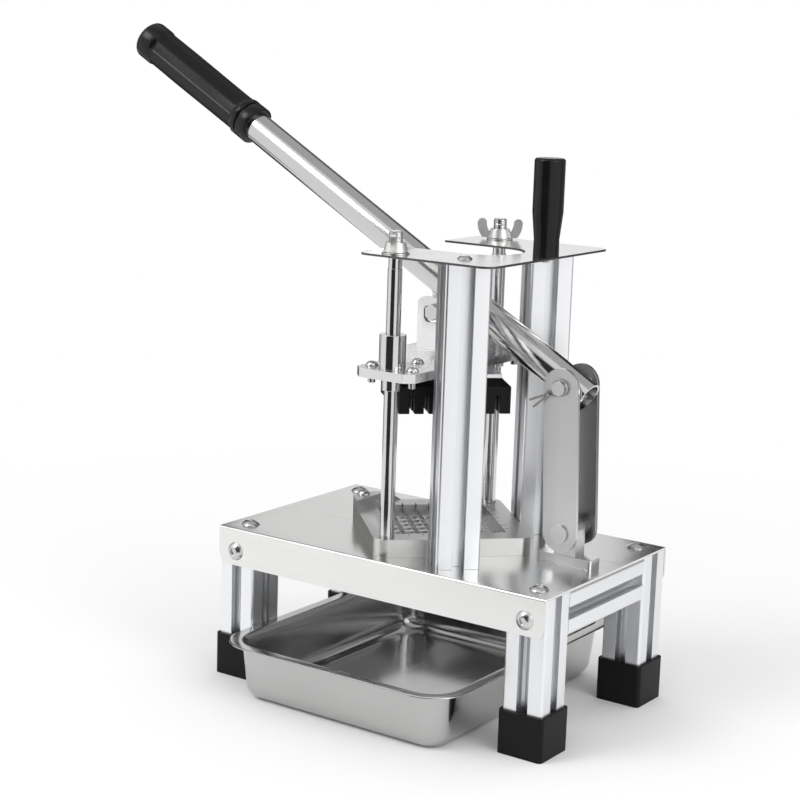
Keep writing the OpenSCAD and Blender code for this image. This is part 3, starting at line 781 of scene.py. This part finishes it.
@dataclass
class Uprights(SubAssembly):
    """Columns, head plate, support handle and the guide rods with their nuts."""

    thread_pitch: float = 1.5 * MM
    thread_len: float = 8.0 * MM
    turn_steps: int = 28
    crest: float = 0.35 * MM
    crest_sides: int = 6
    upright_below: float = 0.5

    def looks(self) -> dict[str, Finish]:
        """Return the finishes of the uprights."""
        return {
            "column_front": RAIL_Z,
            "column_rear": RAIL_Z,
            "column_screws": FASTENER,
            "head_plate": HEAD_SHEET,
            "support_handle": BLACK_GRIP,
            "handle_screw": FASTENER,
            "guide_rod_front": ROD,
            "guide_rod_rear": ROD,
            "rod_nuts": FASTENER,
            "rod_washers": FASTENER,
            "wing_nut_front": WING_CASTING,
            "wing_nut_rear": WING_CASTING,
        }

    def dress(self) -> None:
        """Dress the uprights, darken the head plate's rim with painted shade and cut the rods'
        threads.
        """
        super().dress()
        self.rim(bpy.data.objects["head_plate_shown"])
        self.threads()

    def rim(self, plate: bpy.types.Object) -> None:
        """Give a flat plate's upright faces a dark finish that is painted shade.

        Args:
            plate: The plate's object.
        """
        # Painted shade: faces that stand upright get the dark edge finish.
        plate.data.materials.append(PAINTED_SHADE_EDGE.material())
        for face in plate.data.polygons:
            face.material_index = 1 if abs(face.normal.z) < self.upright_below else 0

    def threads(self) -> None:
        """Wind a thread's crest round the end of both rods above their nuts."""
        low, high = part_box("guide_rod_front")
        next_low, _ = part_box("guide_rod_rear")
        foot = high[2] - self.thread_len - self.crest * 2
        first = ((low[0] + high[0]) / 2, (low[1] + high[1]) / 2, foot)
        to_next = (0.0, next_low[1] - low[1], 0.0)
        shape = NodeShape("rod_threads", ROD)
        core = shape.size("Core radius", (high[0] - low[0]) / 2 - self.crest)
        length = shape.size("Length", self.thread_len)
        turns = shape.size("Turns", self.thread_len / self.thread_pitch)
        crest = shape.size("Crest", self.crest)
        start = shape.size("First rod", first, SizeKind.VECTOR)
        step = shape.size("To next rod", to_next, SizeKind.VECTOR)
        helix = shape.node("GeometryNodeCurveSpiral", {
            "Resolution": self.turn_steps,
            "Rotations": turns,
            "Start Radius": core,
            "End Radius": core,
            "Height": length,
        })
        ridge = shape.tube(helix, crest, self.crest_sides)
        places = shape.node(
            "GeometryNodeMeshLine", {"Count": 2, "Start Location": start, "Offset": step})
        both = shape.node("GeometryNodeInstanceOnPoints", {"Points": places, "Instance": ridge})
        self.add(shape.build(both, empty_carrier("rod_threads_carrier")), "frame", "rod")


@dataclass
class Die(SubAssembly):
    """Die frame, its two layers of blades and its corner bolt."""

    edge: float = 0.12 * MM
    cast: dict[str, float] = field(default_factory=lambda: {"die_frame": 0.9 * MM})

    def looks(self) -> dict[str, Finish]:
        """Return the finishes of the die."""
        return {
            "die_frame": CASTING,
            "blades_lower": BLADE,
            "blades_upper": BLADE,
            "die_bolt": FASTENER,
            "die_nut": FASTENER,
        }


@dataclass
class Linkage(SubAssembly):
    """Base bracket, link plates, fulcrum pin and its spring clip.

    The clip is a loop round the pin, an eye beside it and two legs that spread beyond the eye.
    """

    cast: dict[str, float] = field(default_factory=lambda: {"base_bracket": 0.8 * MM})
    fulcrum: Point = FULCRUM
    wire_r: float = 0.75 * MM
    wire_sides: int = 12
    loop_r: float = 4.75 * MM
    loop_steps: int = 16
    loop_start: float = 14.0
    loop_sweep: float = 166.0
    eye_r: float = 2.0 * MM
    eye_steps: int = 10
    eye_start: float = 15.0
    eye_sweep: float = 150.0
    leg: float = 14.0 * MM
    leg_steps: int = 6
    leg_gap: float = 0.55
    spread: float = math.radians(9.0)
    droop: float = math.radians(32.0)

    def looks(self) -> dict[str, Finish]:
        """Return the finishes of the linkage."""
        return {
            "base_bracket": BRIGHT_CASTING,
            "bracket_screws": FASTENER,
            "foot_pin": LINK_STEEL,
            "foot_spacers": FASTENER,
            "link_plate_front": LINK_STEEL,
            # The rear plate's darker finish is painted shade.
            "link_plate_rear": SHADED_LINK_STEEL,
            "fulcrum_pin": PIN_STEEL,
        }

    def dress(self) -> None:
        """Dress the linkage and wind its clip."""
        super().dress()
        self.clip()

    def half_clip(self) -> list[Section]:
        """Lay out the wire's middle line on one side of the clip.

        Returns:
            Points from the leg's tip over the eye and round the loop, from the pin's centre.
        """
        eye_x = self.loop_r + self.eye_r + self.wire_r
        foot = eye_x + self.eye_r
        half: list[Section] = []
        for i in range(self.leg_steps + 1):
            reach = self.leg * (1 - i / self.leg_steps)
            off = self.wire_r * self.leg_gap + reach * math.sin(self.spread)
            half.append((foot + reach * math.cos(self.spread), off))
        for i in range(1, self.eye_steps):
            turn = math.radians(self.eye_start + self.eye_sweep * i / self.eye_steps)
            half.append((eye_x + self.eye_r * math.cos(turn), self.eye_r * math.sin(turn)))
        for i in range(self.loop_steps + 1):
            turn = math.radians(self.loop_start + self.loop_sweep * i / self.loop_steps)
            half.append((self.loop_r * math.cos(turn), self.loop_r * math.sin(turn)))
        return half

    def clip_path(self) -> list[Point]:
        """Mirror the half clip and turn it to hang from the pin.

        Returns:
            The wire's middle line from one leg's tip to the other's.
        """
        half = self.half_clip()
        flat = half + [(x, -y) for x, y in reversed(half[:-1])]
        low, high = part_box("hairpin_clip")
        y = (low[1] + high[1]) / 2
        px, _, pz = self.fulcrum
        ux, uz = -math.cos(self.droop), -math.sin(self.droop)
        return [(px + u * ux - v * uz, y, pz + u * uz + v * ux) for u, v in flat]

    def clip(self) -> None:
        """Make the clip of one round wire, a little thinner than the CAD one."""
        shape = NodeShape("spring_clip_wire", SPRING_WIRE)
        radius = shape.size("Wire radius", self.wire_r * 0.98)
        wire = shape.tube(shape.entry.outputs[0], radius, self.wire_sides)
        carrier = path_carrier("clip_path", self.clip_path())
        self.stand_in(shape.build(wire, carrier), "hairpin_clip")


@dataclass
class Lever(SubAssembly):
    """Lever tube, its bush and lug, and the moulded grip.

    The grip's flats lie inside its radius by flat_inset and meet in fine ridges.
    """

    fulcrum: Point = FULCRUM
    tilt: float = math.radians(29.5)
    reach: float = 422.0 * MM
    grip_len: float = 118.0 * MM
    collar_r: float = 14.0 * MM
    grip_r: float = 13.0 * MM
    bore_r: float = 10.55 * MM
    flats: int = 10
    flat_inset: float = 0.988
    ridge_height: float = 0.012
    ridge_width: float = 0.06
    ring_points: int = 160

    def looks(self) -> dict[str, Finish]:
        """Return the finishes of the lever."""
        return {
            "lever_tube": TUBE,
            "fulcrum_bush": ROD,
            "lever_lug": BRIGHT_CASTING,
            "lug_bolt": FASTENER,
            "lug_nut": FASTENER,
        }

    def dress(self) -> None:
        """Dress the lever and mould its grip."""
        super().dress()
        self.grip()

    def ring(self, along: float, radius: float, flatness: float) -> list[Point]:
        """Lay a ring round the lever's axis.

        Args:
            along: Distance from the fulcrum towards the grip.
            radius: Largest radius of the ring.
            flatness: 0 for a circle, 1 for flats with a fine ridge between them.

        Returns:
            The ring's points.
        """
        axis = Vector((-math.cos(self.tilt), 0.0, math.sin(self.tilt)))
        across = Vector((0.0, 1.0, 0.0))
        up = Vector((math.sin(self.tilt), 0.0, math.cos(self.tilt)))
        centre = Vector(self.fulcrum) + axis * along
        wedge = 2 * math.pi / self.flats
        points: list[Point] = []
        for i in range(self.ring_points):
            turn = 2 * math.pi * i / self.ring_points
            off = abs((turn % wedge) - wedge / 2)
            flat = math.cos(wedge / 2) / math.cos(off)
            nearness = max(0.0, 1.0 - (wedge / 2 - off) / (wedge * self.ridge_width))
            bent = flat * self.flat_inset + self.ridge_height * nearness
            r = radius * (1.0 + flatness * (bent - 1.0))
            points.append(tuple(centre + across * (r * math.cos(turn)) + up * (r * math.sin(turn))))
        return points

    def profile(self) -> list[Point]:
        """List the grip's sections from its mouth, where the tube enters, to its tip.

        Returns:
            Distance from the fulcrum, radius and flatness of each ring.
        """
        mouth, tip = self.reach - self.grip_len, self.reach
        bore, collar, hold = self.bore_r, self.collar_r, self.grip_r
        # Each row: an end and the way from it in mm, a radius and what is added in mm, flatness.
        sections = (
            # The bore's shallow socket and the mouth's rounded edge.
            (mouth, 6.0, bore, 0.0, 0.0),
            (mouth, 0.0, bore, 0.0, 0.0),
            (mouth, 0.0, collar, -0.8, 0.0),
            (mouth, 0.25, collar, -0.25, 0.0),
            (mouth, 0.8, collar, 0.0, 0.0),
            # The collar, the groove behind it and a narrow ring.
            (mouth, 8.0, collar, 0.0, 0.0),
            (mouth, 8.6, collar, -0.3, 0.0),
            (mouth, 9.0, collar, -1.2, 0.0),
            (mouth, 9.8, collar, -1.2, 0.0),
            (mouth, 10.2, collar, -0.3, 0.0),
            (mouth, 10.8, collar, 0.0, 0.0),
            (mouth, 13.2, collar, 0.0, 0.0),
            # The long flats, a little thicker towards the tip.
            (mouth, 13.8, collar, -0.3, 0.1),
            (mouth, 15.0, hold, 0.2, 0.6),
            (mouth, 18.0, hold, 0.0, 1.0),
            (mouth, 40.0, hold, 0.1, 1.0),
            (mouth, 60.0, hold, 0.3, 1.0),
            (tip, -40.0, hold, 0.4, 1.0),
            (tip, -18.0, hold, 0.3, 1.0),
            (tip, -15.0, hold, 0.3, 0.7),
            # The tip's collar and its rounded end.
            (tip, -13.8, collar, -0.3, 0.1),
            (tip, -13.0, collar, 0.0, 0.0),
            (tip, -3.0, collar, 0.0, 0.0),
            (tip, -1.6, collar, -0.4, 0.0),
            (tip, -0.7, collar, -1.2, 0.0),
            (tip, -0.15, collar, -2.4, 0.0),
            (tip, 0.0, collar, -3.6, 0.0),
            (tip, 0.0, collar, -9.0, 0.0),
        )
        return [(end + away * MM, base + extra * MM, flatness)
                for end, away, base, extra, flatness in sections]

    def grip(self) -> None:
        """Mould the grip: two round collars, rings beside them and ten long flats."""
        rings = [self.ring(*section) for section in self.profile()]
        obj = loft("grip_moulding", rings)
        obj.data.materials.append(BLACK_GRIP.material())
        self.stand_in(obj, "lever_grip")


@dataclass
class PressHead(SubAssembly):
    """Crosshead, bushings, clevis and the pusher block."""

    cast: dict[str, float] = field(default_factory=lambda: {
        "crosshead_bar": 1.1 * MM,
        "lever_clevis": 0.8 * MM,
        "pusher_plate": 0.8 * MM,
    })

    def looks(self) -> dict[str, Finish]:
        """Return the finishes of the press head."""
        return {
            "crosshead_bar": BRIGHT_CASTING,
            "bushing_front": ROD,
            "bushing_rear": ROD,
            "bar_bolts": FASTENER,
            "lever_clevis": BRIGHT_CASTING,
            "clevis_screws": FASTENER,
            "pusher_plate": BRIGHT_CASTING,
            "pusher_screws": FASTENER,
            "pusher_block": BLACK_PUSHER,
        }


@dataclass
class CatchTray(SubAssembly):
    """The drawn steel pan under the table.

    Its section is a line of insets from the rim's edge and heights, and each point of the line
    becomes a rounded rectangle. Inside the lip the corners of these share one centre.
    """

    wall: float = 1.0 * MM
    lip: float = 9.0 * MM
    heel: float = 10.0 * MM
    heel_steps: int = 8
    floor_in: float = 22.5 * MM
    floor_more: float = 3.0 * MM
    rim_corner: float = 27.0 * MM
    corner_centre: float = 28.0 * MM
    least_corner: float = 1.0 * MM
    corner_steps: int = 18
    inner_shares: tuple[float, ...] = (0.3, 0.6, 0.85)
    outer_shares: tuple[float, ...] = (0.85, 0.5, 0.2)

    def ring(self, inset: float, radius: float, z: float) -> list[Point]:
        """Lay a rounded rectangle inside the rim's edge.

        Args:
            inset: Distance in from the rim's edge.
            radius: The corners' radius.
            z: Its height.

        Returns:
            The ring's points.
        """
        low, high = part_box("fry_tray")
        corners = (
            (high[0], high[1], 0),
            (low[0], high[1], 90),
            (low[0], low[1], 180),
            (high[0], low[1], 270),
        )
        points: list[Point] = []
        for x, y, start in corners:
            cx = x + (inset + radius) * (1 if x == low[0] else -1)
            cy = y + (inset + radius) * (1 if y == low[1] else -1)
            for i in range(self.corner_steps + 1):
                turn = math.radians(start + 90 * i / self.corner_steps)
                points.append((cx + radius * math.cos(turn), cy + radius * math.sin(turn), z))
        return points

    def heel_arc(self, radius: float, lift: float) -> list[Section]:
        """Bend the section from the floor up to the wall's foot.

        Args:
            radius: The bend's radius.
            lift: Height of the floor that it starts from.

        Returns:
            Insets and heights from the floor outward.
        """
        arc: list[Section] = []
        for i in range(self.heel_steps + 1):
            turn = math.radians(90 * i / self.heel_steps)
            height = lift + radius * (1 - math.cos(turn))
            arc.append((self.floor_in - radius * math.sin(turn), height))
        return arc

    def slope(self, foot: float, head: float, top: float,
              shares: Sequence[float]) -> list[Section]:
        """Place points on one side of the sloped wall.

        Args:
            foot: Inset of the wall's foot.
            head: Inset of its head.
            top: Height of the rim.
            shares: The points' shares of the way up.

        Returns:
            Their insets and heights.
        """
        base = self.wall + self.heel
        return [(foot + (head - foot) * share, base + (top - base) * share) for share in shares]

    def rim(self, top: float) -> list[Section]:
        """Bend the lip outward, roll its edge down and come back under it.

        Args:
            top: Height of the rim.

        Returns:
            Insets and heights from the wall's inner head to its outer one.
        """
        under = top - self.wall
        bend = ((-0.1, -1.4), (-0.6, -0.45), (-1.6, -0.06), (-2.4, 0.0))
        roll = ((1.2, 0.0), (0.5, -0.08), (0.1, -0.35), (0.0, -0.6), (0.2, -0.9))
        line = [(self.lip + x * MM, top + z * MM) for x, z in bend]
        line += [(x * MM, top + z * MM) for x, z in roll]
        line += [(0.8 * MM, under), (self.lip - 2.2 * MM, under)]
        line += [(self.lip - 1.3 * MM, top - 1.5 * MM), (self.lip - self.wall, top - 2.6 * MM)]
        return line

    def section(self) -> list[Section]:
        """Draw the pan's section: inner floor, heel, wall and lip, then back outside.

        Returns:
            Insets from the rim's edge and heights.
        """
        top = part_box("fry_tray")[1][2]
        foot = self.floor_in - self.heel
        line = [(self.floor_in + self.floor_more, self.wall)]
        line += self.heel_arc(self.heel, self.wall)
        line += self.slope(foot, self.lip, top, self.inner_shares)
        line += self.rim(top)
        line += self.slope(foot - self.wall, self.lip - self.wall, top, self.outer_shares)
        line += reversed(self.heel_arc(self.heel + self.wall, 0.0))
        return line

    def dress(self) -> None:
        """Draw the pan from its section."""
        rings = []
        for inset, z in self.section():
            share = min(1.0, inset / self.lip)
            at_rim = (self.rim_corner - inset) * (1 - share)
            radius = at_rim + (self.corner_centre - inset) * share
            rings.append(self.ring(inset, max(radius, self.least_corner), z))
        obj = loft("drawn_pan", rings)
        obj.data.materials.append(PAN.material())
        self.stand_in(obj, "fry_tray")


# Studio


@dataclass(frozen=True)
class Card:
    """A card that only gloss sees, at an azimuth in degrees from the front towards the right.

    Its low and high edges have a height each, and lean makes the high edge's reach longer.
    """

    name: str
    azimuth: float
    reach: float
    width: float
    low: float
    high: float
    tone: float
    lean: float = 0.0


@dataclass(frozen=True)
class Lamp:
    """A square soft lamp: where it stands, its side in metres and its power."""

    name: str
    place: Point
    size: float
    watts: float


CARDS = (
    Card("front_card", 8.0, 0.75, 0.84, 0.0, 0.88, 0.03),
    Card("front_floor_card", 8.0, 0.46, 0.64, 0.003, 0.003, 0.04, lean=0.28),
    Card("right_card", 140.0, 0.75, 0.60, 0.0, 0.9, 0.30),
    Card("left_card", -84.0, 0.75, 0.22, 0.0, 0.9, 0.45),
    Card("right_edge_card", 182.0, 0.72, 0.40, 0.0, 0.9, 0.05),
    Card("left_edge_card", 246.0, 0.72, 0.40, 0.0, 0.9, 0.05),
    Card("back_low_card", 215.0, 0.70, 0.44, 0.0, 0.38, 0.80),
    Card("back_high_card", 198.0, 0.85, 1.10, 0.56, 1.30, 0.14),
    Card("ceiling_card", 180.0, 0.95, 1.50, 1.15, 1.16, 0.55, lean=-1.22),
)
LAMPS = (
    Lamp("key", (-0.9, -1.5, 1.8), 1.0, 16.0),
    Lamp("side", (1.8, -0.4, 1.2), 1.0, 9.0),
)


@dataclass
class Studio:
    """Floor, white surround, cards, lamps and the camera.

    The camera's angles are in degrees, and its focal length is in pixels of the frame. The room
    level is the surround's light on the object, and the floor fades to white with distance.
    """

    azimuth: float = 34.852
    elevation: float = 11.294
    roll: float = 1.8605
    distance: float = 1331.3 * MM
    target: Point = (-64.986 * MM, 38.590 * MM, 185.867 * MM)
    focal_px: float = 1872.88
    frame_px: float = 800.0
    sensor: float = 36.0
    clip: tuple[float, float] = (0.05, 60.0)
    lamp_aim: Point = (0.0, 0.0, 0.15)
    room_level: float = 0.85
    floor_reach: float = 15.0
    floor_tone: float = 0.93
    floor_fade: tuple[float, float] = (0.25, 0.75)

    def camera(self) -> None:
        """Place the camera that the photograph was matched with."""
        data = bpy.data.cameras.new("camera")
        data.sensor_width = self.sensor
        data.lens = self.focal_px / self.frame_px * self.sensor
        data.clip_start, data.clip_end = self.clip
        az, el, roll = (math.radians(v) for v in (self.azimuth, self.elevation, self.roll))
        back = Vector((math.sin(az) * math.cos(el), -math.cos(az) * math.cos(el), math.sin(el)))
        right = (-back).cross(Vector(UP)).normalized()
        up = right.cross(-back)
        across = right * math.cos(roll) + up * math.sin(roll)
        rise = up * math.cos(roll) - right * math.sin(roll)
        turned = Matrix((across, rise, back)).transposed().to_4x4()
        obj = linked(bpy.data.objects.new("camera", data))
        obj.matrix_world = Matrix.Translation(Vector(self.target) + back * self.distance) @ turned
        bpy.context.scene.camera = obj

    def lamp(self, lamp: Lamp) -> None:
        """Stand a lamp that faces the object.

        Args:
            lamp: Its name, place, size and power.
        """
        data = bpy.data.lights.new(lamp.name, "AREA")
        data.size = lamp.size
        data.energy = lamp.watts
        obj = linked(bpy.data.objects.new(lamp.name, data))
        obj.location = lamp.place
        aim = Vector(self.lamp_aim) - Vector(lamp.place)
        obj.rotation_euler = aim.to_track_quat("-Z", "Y").to_euler()

    def surround(self) -> None:
        """Light the object evenly, and show white to the camera and to gloss."""
        world = bpy.data.worlds.new("surround")
        bpy.context.scene.world = world
        tree = ShaderTree(world)
        path = tree.nodes.new("ShaderNodeLightPath")
        seen = Signal(tree, path.outputs["Is Camera Ray"])
        gloss = Signal(tree, path.outputs["Is Glossy Ray"])
        through = Signal(tree, path.outputs["Is Transmission Ray"])
        shown = seen.at_least(gloss).at_least(through)
        level = self.room_level + shown * (1.0 - self.room_level)
        light = tree.node("ShaderNodeBackground", {"Color": grey(1.0), "Strength": level})
        tree.show(light, Output.WORLD)

    def floor(self) -> None:
        """Lay a pale floor that fades to the white surround away from the object."""
        bm = bmesh.new()
        bmesh.ops.create_grid(bm, x_segments=2, y_segments=2, size=self.floor_reach)
        mesh = keep_mesh("floor", bm)
        material = bpy.data.materials.new("pale_floor")
        tree = ShaderTree(material)
        reach = tree.node("ShaderNodeVectorMath", {0: tree.place()}, "Value", operation="LENGTH")
        paint = tree.node("ShaderNodeBsdfDiffuse", {"Color": grey(self.floor_tone)})
        fade = reach.over(*self.floor_fade)
        tree.show(tree.node("ShaderNodeMixShader", {"Fac": fade, 1: paint, 2: tree.glow(1.0)}))
        mesh.materials.append(material)
        mesh_object("floor", mesh)

    def card(self, card: Card) -> None:
        """Stand a card by the object, for gloss alone to mirror.

        Args:
            card: Its name, place, size and tone.
        """
        az = math.radians(card.azimuth)
        out = Vector((math.sin(az), -math.cos(az), 0.0))
        side = Vector((math.cos(az), math.sin(az), 0.0)) * (card.width / 2)
        low = out * card.reach + Vector(UP) * card.low
        high = out * (card.reach + card.lean) + Vector(UP) * card.high
        mesh = bpy.data.meshes.new(card.name)
        mesh.from_pydata([low - side, low + side, high + side, high - side], [], [(0, 1, 2, 3)])
        material = bpy.data.materials.new(card.name)
        tree = ShaderTree(material)
        tree.show(tree.glow(card.tone))
        mesh.materials.append(material)
        obj = mesh_object(card.name, mesh)
        obj.visible_camera = False
        obj.visible_diffuse = False
        obj.visible_shadow = False
        obj.visible_transmission = False

    def build(self) -> None:
        """Set up light, floor, cards and camera."""
        bpy.context.scene.view_settings.view_transform = "Standard"
        self.surround()
        self.floor()
        for lamp in LAMPS:
            self.lamp(lamp)
        for card in CARDS:
            self.card(card)
        self.camera()


def main() -> None:
    """Dress each sub-assembly, then set up the studio."""
    logging.basicConfig(level=logging.INFO, format="%(name)s: %(message)s")
    for part in (Stand(), Uprights(), Die(), Linkage(), Lever(), PressHead(), CatchTray()):
        part.dress()
        LOG.info("%s dressed", type(part).__name__)
    Studio().build()


if __name__ == "__main__":
    main()
